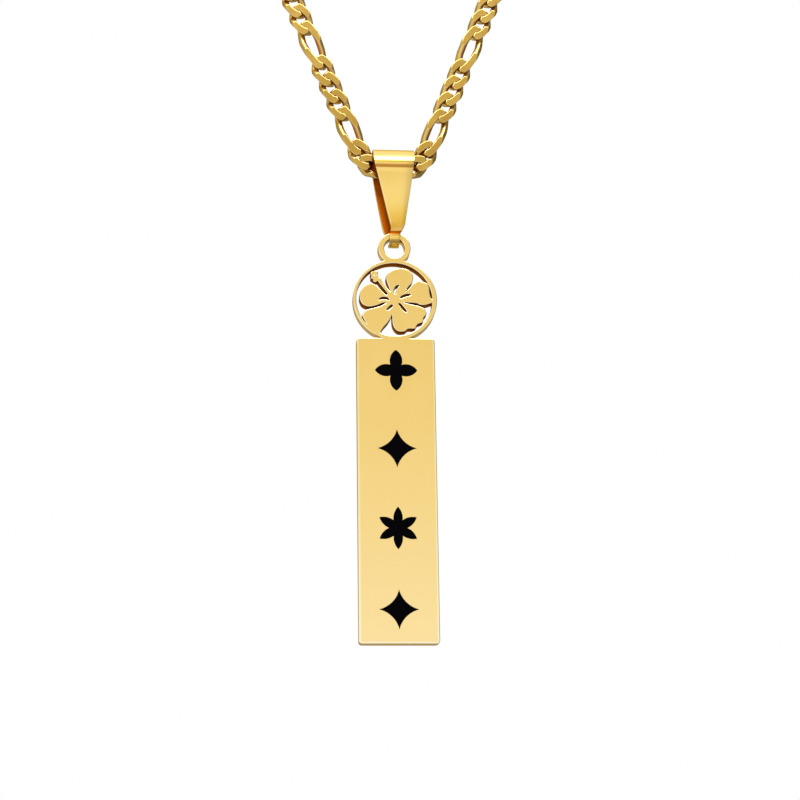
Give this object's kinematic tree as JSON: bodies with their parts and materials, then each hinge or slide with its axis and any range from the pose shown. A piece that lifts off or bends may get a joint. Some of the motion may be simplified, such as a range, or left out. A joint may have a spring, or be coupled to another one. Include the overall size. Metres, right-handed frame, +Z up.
{
  "type": "nameplate necklace",
  "caption": "Gold-coloured necklace: a tall bar with black inlaid ornaments below a pierced flower medallion, hung by a folded bail on a figaro chain.",
  "frame": {"origin": "where the clasp's barrel rests on the nape of the neck, on the side towards the neck", "axes": "+Z up, -Y towards the front, X across from strand to strand"},
  "size_m": [0.109, 0.1035, 0.1616],
  "materials": {
    "plate_gold": "polished gold plating with a fine brushed grain",
    "bail_gold": "mirror polished gold plating",
    "chain_gold": "polished gold plating",
    "black_fill": "smooth black enamel"
  },
  "bodies": {
    "chain": {"centre_link": "chain_gold", "chain_left": "chain_gold", "chain_right": "chain_gold", "clasp": "bail_gold"},
    "bail": {"bail": "bail_gold"},
    "pendant": {"plate": "plate_gold", "motif_1": "black_fill", "motif_2": "black_fill", "motif_3": "black_fill", "motif_4": "black_fill"}
  },
  "joints": [
    {"name": "bail_swing", "type": "hinge", "parent": "chain", "child": "bail", "pos_m": [0, -0.09823, -0.09991], "axis": [1, 0, 0], "range_deg": [-75, 75]},
    {"name": "pendant_swing", "type": "hinge", "parent": "bail", "child": "pendant", "pos_m": [0, -0.09823, -0.10911], "axis": [1, 0, 0], "range_deg": [-80, 80]}
  ]
}
